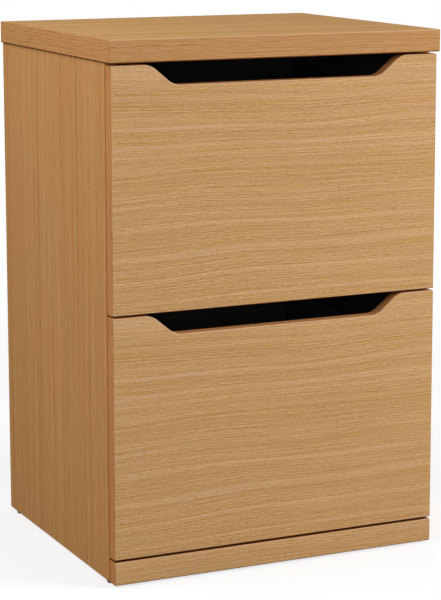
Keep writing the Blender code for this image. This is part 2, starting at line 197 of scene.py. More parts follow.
def power(name, description, default):
    return FloatProperty(name=name, description=description, unit="POWER", default=default)


class OakSettings(bpy.types.PropertyGroup):
    """Colours and figure of the oak-effect foil and its edge band."""

    pale: colour("Pale grain", "Colour of the palest streaks", (0.602, 0.376, 0.206))
    deep: colour("Deep grain", "Colour of the darkest streaks", (0.428, 0.227, 0.068))
    pore: colour("Pores", "Colour inside the open pores", (0.280, 0.135, 0.050))
    warm: colour("Warm tint", "Tint of the warmer bands", (1.0, 0.985, 0.875))
    cool: colour("Cool tint", "Tint of the cooler bands", (0.965, 0.97, 1.0))
    # The arris colour is a painted highlight: mixed into the rounded edges, it pales them as light caught on
    # them would
    arris_highlight: colour("Arris", "Foil stretched over the rounded edges of the fronts", (0.680, 0.480, 0.290))
    side_pale: colour("Pale side grain", "Palest streaks on the side panels", (0.619, 0.352, 0.150))
    side_deep: colour("Deep side grain", "Darkest streaks on the side panels", (0.392, 0.171, 0.043))
    side_warm: colour("Warm side tint", "Tint of the warmer bands on the side panels", (1.0, 0.895, 0.87))
    side_cool: colour("Cool side tint", "Tint of the cooler bands on the side panels", (0.95, 1.0, 1.0))
    top_tint: colour("Top tint", "Tint of the foil on the top panel", (0.965, 0.93, 0.79))
    board_band: colour("Board band tint", "Tint of the edge band along the top panel", (0.885, 0.785, 0.69))
    end_band: colour("End band tint", "Tint of the edge band on the top panel's ends", (0.91, 0.765, 0.61))
    front_band: colour("Front band tint", "Tint of the edge band on the drawer fronts", (0.92, 0.705, 0.565))
    # The dark line tint is painted shade, darkening the lower and rear rounded edges and the plinth's long
    # edges where the gaps and the top's overhang cast shade
    shade_line: colour("Core line", "Tint where the edge band ends at a hidden edge", (0.36, 0.22, 0.13))
    ring: length("Growth rings", "Usual distance between two growth lines", 0.033)
    sway: length("Figure sway", "How far the growth lines wander", 0.030)
    pore_depth: length("Pore depth", "Depth of the pressed grain", 0.00010)
    roughness: factor("Roughness", "Roughness of the matt foil", 0.72)
    gloss: factor("Gloss", "Specular level of the matt foil", 0.02)
    # The next two factors paint a highlight: how far the rounded edges pale towards the arris colour
    edge_highlight: factor("Rubbed edges", "How far the rounded edges of the fronts pale", 0.48)
    board_edge_highlight: factor("Worn edges", "How far the rounded edges of the top and plinth pale", 0.30)
    band_thickness: length("Edge band", "Thickness of the edge band", 0.0010)


class FrontSettings(bpy.types.PropertyGroup):
    """Sizes of a drawer front's finger cut-out and of the rounded edges."""

    floor_width: length("Floor width", "Width of the floor of the cut-out between its sloped ends", 0.298)
    depth: length("Depth", "Depth of the cut-out below the front's top edge", 0.027)
    slope: angle("Slope", "Slope of the cut-out's ends", 40.0)
    rim_radius: length("Rim radius", "Radius where the slope meets the top edge", 0.025)
    floor_radius: length("Floor radius", "Radius where the slope meets the floor", 0.025)
    arc_steps: IntProperty(name="Arc steps", description="Faces round each arc", default=18)
    front_ease: length("Front easing", "Radius of a drawer front's edges", 0.0010)
    top_ease: length("Top easing", "Radius of the top panel's edges", 0.0015)
    plinth_ease: length("Plinth easing", "Radius of the plinth's edges", 0.0012)


class FittingSettings(bpy.types.PropertyGroup):
    """Colours of the boards, metals and plastics behind the fronts, and sizes of the small fittings."""

    black_board: colour("Black board", "Melamine on the drawer boxes and inner faces", (0.055, 0.053, 0.050))
    hardboard: colour("Hardboard", "Bare fibre of the back panel", (0.270, 0.160, 0.080))
    zinc: colour("Zinc", "Zinc plating on slides and screws", (0.600, 0.615, 0.630))
    cage: colour("Cage steel", "Rolled steel of the ball cages", (0.500, 0.500, 0.490))
    rail: colour("File rail", "Satin grey of the file rails", (0.400, 0.410, 0.420))
    cam: colour("Cam zinc", "Die-cast zinc of the cams", (0.300, 0.300, 0.305))
    plastic: colour("Dark plastic", "Moulded plastic of glides and levers", (0.022, 0.022, 0.024))
    silicone: colour("Bumpers", "Clear silicone of the bumpers", (0.720, 0.710, 0.670))
    screw_radius: length("Screw head", "Radius of a screw's pan head", 0.0036)
    rivet_radius: length("Rivet head", "Radius of a rail rivet's dome", 0.0030)
    bumper_radius: length("Bumper", "Radius of a bumper", 0.0040)
    bumper_height: length("Bumper height", "Height of a bumper, less than the gap behind a front", 0.0014)
    cam_radius: length("Cam", "Radius of the cams inside the drawer sides", 0.0075)
    glide_radius: length("Glide", "Radius of a glide, almost as wide as its panel", 0.0087)
    glide_rim: length("Glide rim", "Radius of the rounded rim of a glide's foot", 0.0010)


class StageSettings(bpy.types.PropertyGroup):
    """Camera, lamps and floor."""

    camera_place: FloatVectorProperty(
        name="Camera",
        description="Place of the camera",
        subtype="TRANSLATION",
        default=(-1.2442, -2.7038, 0.9054),
    )
    yaw: angle("Yaw", "Turn of the camera about the vertical", -25.349)
    pitch: angle("Pitch", "How far the camera looks down", 9.393)
    focal_pixels: FloatProperty(
        name="Focal length", description="Focal length in pixels of a picture 600 high", default=2156.1
    )
    shift_x: FloatProperty(name="Shift X", description="Sideways shift of the lens", default=-0.03)
    shift_y: FloatProperty(name="Shift Y", description="Upward shift of the lens", default=-0.10)
    floor: colour("Floor", "Pale floor as the camera sees it", (0.97, 0.97, 0.97))
    floor_bounce: colour("Floor bounce", "Floor as the light sees it", (0.40, 0.39, 0.37))
    ambient: colour("Ambient", "Even light from all round", (0.25, 0.25, 0.25))
    key_power: power("Key lamp", "Power of the lamp at the front right", 70.0)
    back_power: power("Back lamp", "Power of the lamp at the back right", 48.0)
    fill_power: power("Fill lamp", "Power of the lamp above, to the left", 17.5)
    side_power: power("Side lamp", "Power of the lamp at the front left", 13.0)
    front_power: power("Front lamp", "Power of the lamp beside the camera", 5.5)


class Value:
    """A socket in a finish. Arithmetic on it adds Math nodes."""

    def __init__(self, finish, socket):
        self.finish = finish
        self.socket = socket

    def output(self, key):
        return Value(self.finish, self.socket.node.outputs[key])

    def maths(self, operation, first, second):
        return self.finish.node("ShaderNodeMath", {"operation": operation}, {0: first, 1: second})

    def __add__(self, other):
        return self.maths("ADD", self, other)

    def __radd__(self, other):
        return self.maths("ADD", other, self)

    def __sub__(self, other):
        return self.maths("SUBTRACT", self, other)

    def __rsub__(self, other):
        return self.maths("SUBTRACT", other, self)

    def __mul__(self, other):
        return self.maths("MULTIPLY", self, other)

    def __rmul__(self, other):
        return self.maths("MULTIPLY", other, self)

    def __truediv__(self, other):
        return self.maths("DIVIDE", self, other)

    def __rtruediv__(self, other):
        return self.maths("DIVIDE", other, self)


class Finish:
    """Nodes of a material or a world, added one by one and by arithmetic."""

    def __init__(self, owner):
        self.owner = owner
        owner.use_nodes = True
        self.tree = owner.node_tree

    def node(self, kind, settings, sockets, output=0):
        made = self.tree.nodes.new(kind)
        for name, value in settings.items():
            setattr(made, name, value)
        for key, value in sockets.items():
            self.feed(made.inputs[key], value)
        return Value(self, made.outputs[output])

    def feed(self, socket, value):
        if isinstance(value, Value):
            self.tree.links.new(value.socket, socket)
        else:
            socket.default_value = value

    def shade(self, **sockets):
        """Sets the Principled shader's sockets, named with underscores for spaces."""
        shader = self.tree.nodes["Principled BSDF"]
        for name, value in sockets.items():
            self.feed(shader.inputs[name.replace("_", " ")], value)

    def place(self, origin=(0, 0, 0)):
        """X, Y and Z of the surface in metres, measured from an origin."""
        spot = self.node("ShaderNodeTexCoord", {}, {}, "Object")
        moved = self.node("ShaderNodeVectorMath", {"operation": "SUBTRACT"}, {0: spot, 1: origin})
        parts = self.node("ShaderNodeSeparateXYZ", {}, {0: moved})
        return {axis: parts.output(axis) for axis in "XYZ"}

    def noise(self, x, y, z=0.0, detail=1.0, roughness=0.5):
        """Noise round 0.5. A factor on a coordinate is a number of blotches in a metre."""
        spot = self.node("ShaderNodeCombineXYZ", {}, {0: x, 1: y, 2: z})
        sockets = {"Vector": spot, "Scale": 1.0, "Detail": detail, "Roughness": roughness}
        return self.node("ShaderNodeTexNoise", {}, sockets)

    def strands(self, along, across):
        """Thin lines round 0: noise less its own copy beside it, so that no broad patches are left."""
        return self.noise(along, across) - self.noise(along, across + 0.6)

    def step(self, value, low, high):
        """0 below low, 1 above high and a smooth step between."""
        sockets = {"Value": value, "From Min": low, "From Max": high}
        return self.node("ShaderNodeMapRange", {"interpolation_type": "SMOOTHSTEP"}, sockets)

    def blend(self, mask, first, second, how="MIX"):
        """Two colours, mixed by a mask."""
        settings = {"data_type": "RGBA", "blend_type": how}
        return self.node("ShaderNodeMix", settings, {0: mask, 6: first, 7: second}, 2)

    def fraction(self, value):
        return self.node("ShaderNodeMath", {"operation": "FRACT"}, {0: value})

    def wave(self, value, pitch):
        """A sine wave, one crest in each pitch."""
        return self.node("ShaderNodeMath", {"operation": "SINE"}, {0: value * (2 * pi / pitch)})

    def bump(self, height, distance):
        return self.node("ShaderNodeBump", {}, {"Height": height, "Distance": distance})


def rgba(values):
    return (*values, 1.0)


def material(name, make, *facts):
    """The material of this name, made the first time it is asked for."""
    found = bpy.data.materials.get(name)
    if found:
        return found
    finish = Finish(bpy.data.materials.new(name))
    make(finish, *facts)
    return finish.owner


def oak_grain(finish, along, across, palette, ring, sway, pore_depth, weights):
    """Colour, pores and normal of oak-effect foil.

    Growth lines run the whole length of the board, each a pale line above a dark one. Between them lie
    long threads and short dashes. palette holds the deep, pale and pore colours and the warm and cool
    tints. weights are for the growth lines, the broad ribbons, the fine grain and the flecks.
    """
    deep, pale, pore, warm, cool = palette
    growth, ribbon, fine, fleck = weights
    wander = finish.noise(along * 2.6, across * 6.0) - 0.5
    line = across + sway * wander
    spread = finish.noise(along * 0.5, line * 26.0)
    age = finish.fraction(line / ring + 1.2 * spread)
    fade = 0.3 + 1.4 * finish.noise(along * 3.0, line * 70.0)
    pale_line = finish.step(age, 0.70, 0.90) * (1.0 - finish.step(age, 0.92, 1.0))
    dark_line = finish.step(age, 0.0, 0.04) * (1.0 - finish.step(age, 0.05, 0.17))
    zones = finish.noise(along * 0.7, line * 32.0) - 0.5
    ribbons = finish.noise(along * 0.8, line * 85.0) - 0.5
    threads = finish.noise(along * 1.4, line * 210.0) - 0.5
    hairs = finish.noise(along * 7.0, line * 450.0) - 0.5
    broken = finish.step(finish.noise(along * 75.0, line * 240.0), 0.40, 0.60)
    dashes = finish.strands(along * 6.0, line * 500.0) * (0.2 + 1.5 * broken)
    fibres = finish.strands(along * 100.0, line * 700.0)
    patches = finish.step(finish.noise(along * 45.0, line * 80.0), 0.40, 0.60)
    mottle = finish.noise(along * 300.0, line * 190.0) - 0.5
    flecks = finish.strands(along * 9.0, line * 125.0) * (0.1 + 1.6 * patches) + 1.4 * mottle
    specks = finish.noise(along * 230.0, line * 330.0) - 0.5
    lines = growth * fade * (0.22 * pale_line - 0.13 * dark_line)
    lines += ribbon * (0.46 * zones + 0.38 * ribbons)
    grain = 0.19 * threads + 0.6 * hairs + 1.2 * dashes + 0.8 * fibres + 0.75 * specks
    tone = 0.5 + lines + fine * grain + fleck * flecks
    pores = finish.step(finish.noise(along * 95.0, line * 2300.0), 0.60, 0.72)
    shade = finish.blend(tone, rgba(deep), rgba(pale))
    shade = finish.blend(0.28 * pores, shade, rgba(pore))
    hue = finish.step(finish.noise(along * 6.0, line * 95.0, detail=3.0, roughness=0.65), 0.26, 0.74)
    shade = finish.blend(1.0, shade, finish.blend(hue, rgba(warm), rgba(cool)), "MULTIPLY")
    normal = finish.bump(0.5 * dashes + 0.4 * fibres - 0.8 * pores, pore_depth)
    return shade, pores, normal


def make_veneer(finish, oak, axes, origin, tint=(1.0, 1.0, 1.0), weights=FRONT_WEIGHTS):
    """Foil on the broad faces of a board. axes names the axis along the grain, then the one across it."""
    place = finish.place(origin)
    warm, cool = [[a * b for a, b in zip(tint, shade)] for shade in (oak.warm, oak.cool)]
    palette = (oak.deep, oak.pale, oak.pore, warm, cool)
    along, across = place[axes[0]], place[axes[1]]
    shade, pores, normal = oak_grain(
        finish, along, across, palette, oak.ring, oak.sway, oak.pore_depth, weights
    )
    rough = oak.roughness + 0.10 * pores
    finish.shade(Base_Color=shade, Roughness=rough, Normal=normal, Specular_IOR_Level=oak.gloss)


def band_grain(finish, oak, tint, axes, origin):
    """Colour, roughness and normal of an edge band: straighter, closer and deeper than the foil."""
    place = finish.place(origin)
    along, across = place[axes[0]], place[axes[1]]
    bands = finish.noise(along * 5.0, across * 180.0) - 0.5
    threads = finish.noise(along * 24.0, across * 400.0) - 0.5
    broken = finish.step(finish.noise(along * 75.0, across * 240.0), 0.40, 0.60)
    dashes = finish.strands(along * 6.0, across * 480.0) * (0.2 + 1.5 * broken)
    fibres = finish.strands(along * 60.0, across * 700.0)
    tone = 0.5 + 0.30 * bands + 0.6 * threads + 1.1 * dashes + 0.9 * fibres
    pores = finish.step(finish.noise(along * 60.0, across * 900.0), 0.62, 0.72)
    shade = finish.blend(tone, rgba(oak.deep), rgba(oak.pale))
    shade = finish.blend(0.45 * pores, shade, rgba(oak.pore))
    shade = finish.blend(1.0, shade, rgba(tint), "MULTIPLY")
    normal = finish.bump(0.6 * dashes - 0.6 * pores, oak.pore_depth)
    return shade, oak.roughness + 0.08 * pores - 0.1 * dashes, normal


def make_edge_band(finish, oak, tint, axes, origin):
    shade, rough, normal = band_grain(finish, oak, tint, axes, origin)
    finish.shade(Base_Color=shade, Roughness=rough, Normal=normal, Specular_IOR_Level=oak.gloss)


def make_rounded_edge(finish, oak, tint, axes, origin, edge_highlight, gloss):
    """Where foil wraps a rounded edge: smoother than the band beside it, and paled as a painted highlight.
    """
    shade, rough, normal = band_grain(finish, oak, tint, axes, origin)
    shade = finish.blend(edge_highlight, shade, rgba(oak.arris_highlight))
    finish.shade(Base_Color=shade, Roughness=rough - 0.30, Normal=normal, Specular_IOR_Level=gloss)


def make_side_board(finish, oak, fittings, low, high, sign):
    """Upright foil on a side panel, edge band on its front and rear edges, black melamine inside.

    The grain's place depends on X too, so that the two panels differ.
    """
    place = finish.place()
    x, y = place["X"], place["Y"]
    palette = (oak.side_deep, oak.side_pale, oak.pore, oak.side_warm, oak.side_cool)
    sway = SIDE_SWAY * oak.sway
    shade, pores, normal = oak_grain(
        finish, place["Z"], y + 3 * x, palette, oak.ring, sway, oak.pore_depth, SIDE_WEIGHTS
    )
    edge = oak.band_thickness
    banded = 1.0 - finish.step(y - low.y, 0.8 * edge, edge) * finish.step(high.y - y, 0.8 * edge, edge)
    shade = finish.blend(banded, shade, finish.blend(1.0, shade, rgba(oak.front_band), "MULTIPLY"))
    inner = min(abs(low.x), abs(high.x))
    inside = 1.0 - finish.step(sign * x - inner, 0.1 * edge, 0.2 * edge)
    shade = finish.blend(inside, shade, rgba(fittings.black_board))
    rough = oak.roughness + 0.10 * pores
    finish.shade(Base_Color=shade, Roughness=rough, Normal=normal, Specular_IOR_Level=oak.gloss)


def make_black_board(finish, fittings):
    """Black melamine with a pressed grain and the odd pale rub."""
    place = finish.place()
    x, y, z = place["X"], place["Y"], place["Z"]
    pitted = finish.noise(x * 900.0, y * 900.0, z * 900.0, detail=2.0)
    cloud = finish.noise(x * 9.0, y * 9.0, z * 9.0, detail=3.0)
    rub = finish.step(finish.noise(x * 60.0, y * 8.0, z * 60.0, detail=2.0), 0.66, 0.80)
    lighter = Vector(fittings.black_board) * 1.9
    shade = finish.blend(0.6 * cloud, rgba(fittings.black_board), rgba(lighter))
    shade = finish.blend(0.25 * rub, shade, rgba(lighter * 2.0))
    rough = 0.50 + 0.18 * (cloud - 0.5) + 0.1 * (pitted - 0.5)
    finish.shade(Base_Color=shade, Roughness=rough, Normal=finish.bump(pitted, 0.00005))


def make_hardboard(finish, fittings, low):
    """Hardboard: matted fibres pressed on a wire screen, and a black coat on its inner face."""
    place = finish.place()
    x, y, z = place["X"], place["Y"], place["Z"]
    mat = finish.noise(x * 420.0, y * 420.0, z * 420.0, detail=4.0, roughness=0.7) - 0.5
    clots = finish.noise(x * 60.0, y * 60.0, z * 60.0, detail=3.0) - 0.5
    patch = finish.noise(x * 5.0, y * 5.0, z * 5.0, detail=2.0) - 0.5
    tone = finish.step(0.5 + 1.5 * mat + 0.9 * clots + 0.7 * patch, 0.0, 1.0)
    dark = Vector(fittings.hardboard) * 0.72
    pale = Vector(fittings.hardboard) * 1.30
    shade = finish.blend(tone, rgba(dark), rgba(pale))
    inside = 1.0 - finish.step(y - low.y, COAT, 2 * COAT)
    shade = finish.blend(inside, shade, rgba(fittings.black_board))
    screen = finish.wave(x, SCREEN_PITCH) * finish.wave(z, SCREEN_PITCH)
    normal = finish.bump(0.5 * screen + 1.6 * mat, 0.00018)
    finish.shade(Base_Color=shade, Roughness=0.78 + 0.2 * mat, Normal=normal)


def make_metal(finish, tint, roughness, drawn, spots):
    """Rolled or cast metal: lines drawn along Y and a faint mottle in the plating."""
    place = finish.place()
    x, y, z = place["X"], place["Y"], place["Z"]
    lines = finish.noise(x * 1400.0, y * 14.0, z * 1400.0, detail=2.0) - 0.5
    mottle = finish.noise(x * 90.0, y * 60.0, z * 90.0, detail=3.0) - 0.5
    tone = finish.step(0.5 + drawn * lines + spots * mottle, 0.0, 1.0)
    shade = finish.blend(tone, rgba(Vector(tint) * 0.82), rgba(Vector(tint) * 1.12))
    rough = roughness + 0.16 * lines + 0.14 * mottle
    normal = finish.bump(lines, 0.00002 * drawn)
    finish.shade(Base_Color=shade, Roughness=rough, Metallic=1.0, Normal=normal)


def make_plastic(finish, tint):
    """Moulded plastic with a fine spark-eroded grain."""
    place = finish.place()
    x, y, z = place["X"], place["Y"], place["Z"]
    grain = finish.noise(x * 1600.0, y * 1600.0, z * 1600.0, detail=2.0) - 0.5
    flow = finish.noise(x * 80.0, y * 80.0, z * 80.0, detail=2.0) - 0.5
    tone = finish.step(0.5 + 0.8 * flow, 0.0, 1.0)
    shade = finish.blend(tone, rgba(Vector(tint) * 0.8), rgba(Vector(tint) * 1.3))
    finish.shade(Base_Color=shade, Roughness=0.48 + 0.2 * grain, Normal=finish.bump(grain, 0.00004))


def make_silicone(finish, tint):
    """Clear silicone, a little cloudy."""
    place = finish.place()
    x, y, z = place["X"], place["Y"], place["Z"]
    cloud = finish.noise(x * 300.0, y * 300.0, z * 300.0, detail=2.0)
    shade = finish.blend(cloud, rgba(Vector(tint) * 0.85), rgba(tint))
    finish.shade(Base_Color=shade, Roughness=0.25 + 0.2 * cloud, Transmission_Weight=0.5, IOR=1.42)


def zinc_plate(fittings):
    return material("zinc_plate", make_metal, fittings.zinc, *ZINC_PLATE)


def cam_metal(fittings):
    return material("cam_metal", make_metal, fittings.cam, *CAM_ZINC)


def rail_metal(fittings):
    return material("rail_metal_satin", make_metal, fittings.rail, *RAIL_SATIN)


def moulded_plastic(fittings):
    return material("moulded_plastic", make_plastic, fittings.plastic)


def dress(node, finish):
    """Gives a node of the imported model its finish."""
    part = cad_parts[node]
    if not part.material_slots:
        part.data.materials.append(finish)
    for slot in part.material_slots:
        slot.material = finish


def piece(name, shape, finishes, body):
    """A new object from a bmesh, riding on a body."""
    mesh = bpy.data.meshes.new(name)
    shape.to_mesh(mesh)
    shape.free()
    mesh.shade_smooth()
    mesh.set_sharp_from_angle(angle=SMOOTH_ANGLE)
    for finish in finishes:
        mesh.materials.append(finish)
    made = bpy.data.objects.new(name, mesh)
    bpy.context.scene.collection.objects.link(made)
    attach(made, body)
    return made


def weigh_normals(made):
    """Keeps broad faces flat while their rounded edges shade smoothly."""
    weighted = made.modifiers.new("flat_faces", "WEIGHTED_NORMAL")
    weighted.keep_sharp = True


def ease_edges(shape, edges, radius):
    bmesh.ops.bevel(
        shape, geom=edges, affect="EDGES", offset=radius, segments=EASE_STEPS, profile=0.5, material=-1
    )


def mark_bands(shape, broad_axis, shown, highlight_axis):
    """Gives each face of a banded board its material slot.

    The rounded edges are those of the shown broad face that turn towards the given axis; they are paled as a
    painted highlight. The edges behind them and the lower edges get a dark tint, painted shade.
    """
    for face in shape.faces:
        broad = shown * face.normal[broad_axis]
        if abs(broad) > FLAT:
            face.material_index = FOIL
        elif broad < -TRACE or (broad > TRACE and face.normal.z < -LEAN):
            face.material_index = SHADE_LINE
        elif broad > TRACE and abs(face.normal[highlight_axis]) > TRACE:
            face.material_index = ROUNDED
        elif abs(face.normal.x) > max(LEAN, STEEP * abs(face.normal.z)):
            face.material_index = END_BAND
        else:
            face.material_index = BAND


def board_shape(low, high, radius):
    shape = bmesh.new()
    bmesh.ops.create_cube(shape, size=1.0)
    bmesh.ops.scale(shape, vec=high - low, verts=shape.verts)
    bmesh.ops.translate(shape, vec=(low + high) / 2, verts=shape.verts)
    ease_edges(shape, shape.edges[:], radius)
    return shape


def front_shape(low, high, sizes):
    """A drawer front with its finger cut-out, rounded by bevels of the notch's own edges."""
    shape = bmesh.new()
    floor_half = sizes.floor_width / 2
    rim_half = floor_half + sizes.depth / tan(sizes.slope)
    floor = high.z - sizes.depth
    outline = [
        (low.x, low.z),
        (high.x, low.z),
        (high.x, high.z),
        (rim_half, high.z),
        (floor_half, floor),
        (-floor_half, floor),
        (-rim_half, high.z),
        (low.x, high.z),
    ]
    face = shape.faces.new([shape.verts.new((x, low.y, z)) for x, z in outline])
    swept = bmesh.ops.extrude_face_region(shape, geom=[face])["geom"]
    moved = [item for item in swept if isinstance(item, bmesh.types.BMVert)]
    bmesh.ops.translate(shape, vec=(0, high.y - low.y, 0), verts=moved)
    bmesh.ops.recalc_face_normals(shape, faces=shape.faces)
    for half, height, radius in (
        (rim_half, high.z, sizes.rim_radius),
        (floor_half, floor, sizes.floor_radius),
    ):
        corner = [
            edge
            for edge in shape.edges
            if all(abs(abs(v.co.x) - half) < NEAR and abs(v.co.z - height) < NEAR for v in edge.verts)
            and abs(edge.verts[0].co.x - edge.verts[1].co.x) < NEAR
        ]
        bmesh.ops.bevel(
            shape,
            geom=corner,
            affect="EDGES",
            offset=radius * tan(sizes.slope / 2),
            segments=sizes.arc_steps,
            profile=0.5,
            material=-1,
        )
    eased = [
        edge
        for edge in shape.edges
        if abs(edge.verts[0].co.y - edge.verts[1].co.y) < NEAR
        or abs(abs(edge.verts[0].co.x) - high.x) < NEAR
    ]
    ease_edges(shape, eased, sizes.front_ease)
    return shape


def turned(profile):
    """A shape turned about Z from (radius, height) points."""
    shape = bmesh.new()
    points = [shape.verts.new((radius, 0, height)) for radius, height in profile]
    edges = [shape.edges.new(pair) for pair in zip(points, points[1:])]
    bmesh.ops.spin(
        shape,
        geom=points + edges,
        cent=(0, 0, 0),
        axis=(0, 0, 1),
        angle=2 * pi,
        steps=ROUND_STEPS,
        use_merge=True,
    )
    bmesh.ops.remove_doubles(shape, verts=shape.verts, dist=NEAR)
    bmesh.ops.recalc_face_normals(shape, faces=shape.faces)
    return shape


def dome(radius, height):
    return turned([(out * radius, up * height) for out, up in DOME])


def cross_head(radius, height, depth):
    """A pan head on Z = 0 with a cross recess cut into its top."""
    shape = bmesh.new()
    crown = CROWN * radius
    bmesh.ops.create_circle(shape, cap_ends=True, segments=ROUND_STEPS, radius=crown)
    bmesh.ops.translate(shape, vec=(0, 0, height), verts=shape.verts)
    half_width, half_length = ARM_WIDTH * radius, ARM_LENGTH * radius
    for axis in (Vector((1, 0, 0)), Vector((0, 1, 0))):
        for place in (-half_length, -half_width, half_width, half_length):
            cells = shape.verts[:] + shape.edges[:] + shape.faces[:]
            bmesh.ops.bisect_plane(shape, geom=cells, plane_co=axis * place, plane_no=axis)
    recess = []
    for face in shape.faces:
        near, far = sorted(abs(value) for value in face.calc_center_median().xy)
        if near < half_width and far < half_length:
            recess.append(face)
    rim = [edge for edge in shape.edges if edge.is_boundary]
    chamfer = CROWN_DROP * height
    for spread, drop in ((radius / crown, chamfer), (1.0, height - chamfer)):
        swept = bmesh.ops.extrude_edge_only(shape, edges=rim)["geom"]
        verts = [item for item in swept if isinstance(item, bmesh.types.BMVert)]
        rim = [item for item in swept if isinstance(item, bmesh.types.BMEdge)]
        bmesh.ops.scale(shape, vec=(spread, spread, 1), verts=verts)
        bmesh.ops.translate(shape, vec=(0, 0, -drop), verts=verts)
    swept = bmesh.ops.extrude_face_region(shape, geom=recess)["geom"]
    verts = [item for item in swept if isinstance(item, bmesh.types.BMVert)]
    bmesh.ops.delete(shape, geom=recess, context="FACES")
    bmesh.ops.translate(shape, vec=(0, 0, -depth), verts=verts)
    bmesh.ops.scale(shape, vec=(CROSS_TAPER, CROSS_TAPER, 1), verts=verts)
    bmesh.ops.recalc_face_normals(shape, faces=shape.faces)
    return shape


def scatter(shape, spots):
    """One shape with a copy at each spot. A spot is a place, and the way its Z axis faces."""
    pattern = bpy.data.meshes.new("pattern")
    shape.to_mesh(pattern)
    shape.free()
    whole = bmesh.new()
    for index, (place, facing) in enumerate(spots):
        start = len(whole.verts)
        whole.from_mesh(pattern)
        whole.verts.ensure_lookup_table()
        turn = Vector(facing).to_track_quat("Z", "Y").to_matrix().to_4x4()
        twist = Matrix.Rotation(SCREW_TWIST * index, 4, "Z")
        matrix = Matrix.Translation(place) @ turn @ twist
        bmesh.ops.transform(whole, matrix=matrix, verts=whole.verts[start:])
    bpy.data.meshes.remove(pattern)
    return whole


class CABINET_OT_stage(bpy.types.Operator):
    """Make the floor, the lamps, the world and the camera"""

    bl_idname = "cabinet.stage"
    bl_label = "Stage"

    def execute(self, context):
        stage = context.scene.cabinet_stage
        self.make_floor(stage)
        self.make_world(context, stage)
        middle = (Vector(cad_box[0]) + Vector(cad_box[1])) / 2
        for name, (place, size) in LAMPS.items():
            self.make_lamp(name + "_lamp", place, middle, size, getattr(stage, name + "_power"))
        self.make_camera(context, stage)
        context.scene.view_settings.view_transform = "Standard"
        return {"FINISHED"}

    def make_floor(self, stage):
        shape = bmesh.new()
        bmesh.ops.create_grid(shape, x_segments=1, y_segments=1, size=FLOOR_HALF)
        mesh = bpy.data.meshes.new("floor")
        shape.to_mesh(mesh)
        shape.free()
        floor = bpy.data.objects.new("floor", mesh)
        bpy.context.scene.collection.objects.link(floor)
        finish = Finish(bpy.data.materials.new("pale_floor"))
        place = finish.place()
        x, y = place["X"], place["Y"]
        far = finish.step(x * x + y * y, *FLOOR_FADE)
        seen = self.seen(finish)
        lit = finish.blend(seen, rgba(stage.floor_bounce), rgba(stage.floor))
        finish.shade(Base_Color=lit, Roughness=0.9, Specular_IOR_Level=0.0)
        matt = Value(finish, finish.tree.nodes["Principled BSDF"].outputs[0])
        white = finish.node("ShaderNodeEmission", {}, {"Color": (1, 1, 1, 1), "Strength": 1.0})
        glow = seen * (FLOOR_GLOW + (1 - FLOOR_GLOW) * far)
        whole = finish.node("ShaderNodeMixShader", {}, {0: glow, 1: matt, 2: white})
        finish.feed(finish.tree.nodes["Material Output"].inputs["Surface"], whole)
        mesh.materials.append(finish.owner)

    def seen(self, finish):
        """1 for rays that show the background: the camera's, and those mirrored or refracted."""
        path = finish.node("ShaderNodeLightPath", {}, {}, "Is Camera Ray")
        total = path + path.output("Is Glossy Ray") + path.output("Is Transmission Ray")
        return finish.node("ShaderNodeClamp", {}, {0: total})

    def make_world(self, context, stage):
        world = bpy.data.worlds.new("studio")
        context.scene.world = world
        finish = Finish(world)
        light = finish.tree.nodes["Background"]
        finish.feed(light.inputs["Color"], rgba(stage.ambient))
        ambient = Value(finish, light.outputs[0])
        white = finish.node("ShaderNodeBackground", {}, {"Color": (1, 1, 1, 1), "Strength": 1.0})
        whole = finish.node("ShaderNodeMixShader", {}, {0: self.seen(finish), 1: ambient, 2: white})
        finish.feed(finish.tree.nodes["World Output"].inputs["Surface"], whole)

    def make_lamp(self, name, place, target, size, energy):
        lamp = bpy.data.lights.new(name, "AREA")
        lamp.size = size
        lamp.energy = energy
        made = bpy.data.objects.new(name, lamp)
        bpy.context.scene.collection.objects.link(made)
        made.location = place
        made.rotation_euler = (target - made.location).to_track_quat("-Z", "Y").to_euler()
        made.visible_camera = False

    def make_camera(self, context, stage):
        camera = bpy.data.cameras.new("photo_camera")
        camera.sensor_width = SENSOR
        camera.lens = stage.focal_pixels * SENSOR / PHOTO_HEIGHT
        camera.shift_x = stage.shift_x
        camera.shift_y = stage.shift_y
        made = bpy.data.objects.new("photo_camera", camera)
        context.scene.collection.objects.link(made)
        made.location = stage.camera_place
        made.rotation_euler = (pi / 2 - stage.pitch, 0, stage.yaw)
        context.scene.camera = made


class CABINET_OT_drawer_fronts(bpy.types.Operator):
    """Make both drawer fronts, with foil on their faces and an edge band all round"""

    bl_idname = "cabinet.drawer_fronts"
    bl_label = "Drawer Fronts"

    def execute(self, context):
        oak = context.scene.cabinet_oak
        sizes = context.scene.cabinet_fronts
        for level in LEVELS:
            node = level + "_drawer_front"
            low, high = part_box(node)
            origin = (0.0, 0.0, low.z)
            tint = oak.front_band
            rounding = (oak.edge_highlight, FRONT_EDGE_GLOSS)
            finishes = [
                material(level + "_front_foil", make_veneer, oak, "XZ", origin),
                material(level + "_front_band_across", make_edge_band, oak, tint, "XY", origin),
                material(level + "_front_band_upright", make_edge_band, oak, tint, "ZY", origin),
                material(level + "_front_rounded", make_rounded_edge, oak, tint, "XY", origin, *rounding),
                material(level + "_front_core", make_edge_band, oak, oak.shade_line, "XY", origin),
            ]
            shape = front_shape(low, high, sizes)
            mark_bands(shape, Y_AXIS, -1, Z_AXIS)
            front = piece(level + "_front", shape, finishes, level + "_drawer")
            weigh_normals(front)
            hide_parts(node)
        return {"FINISHED"}


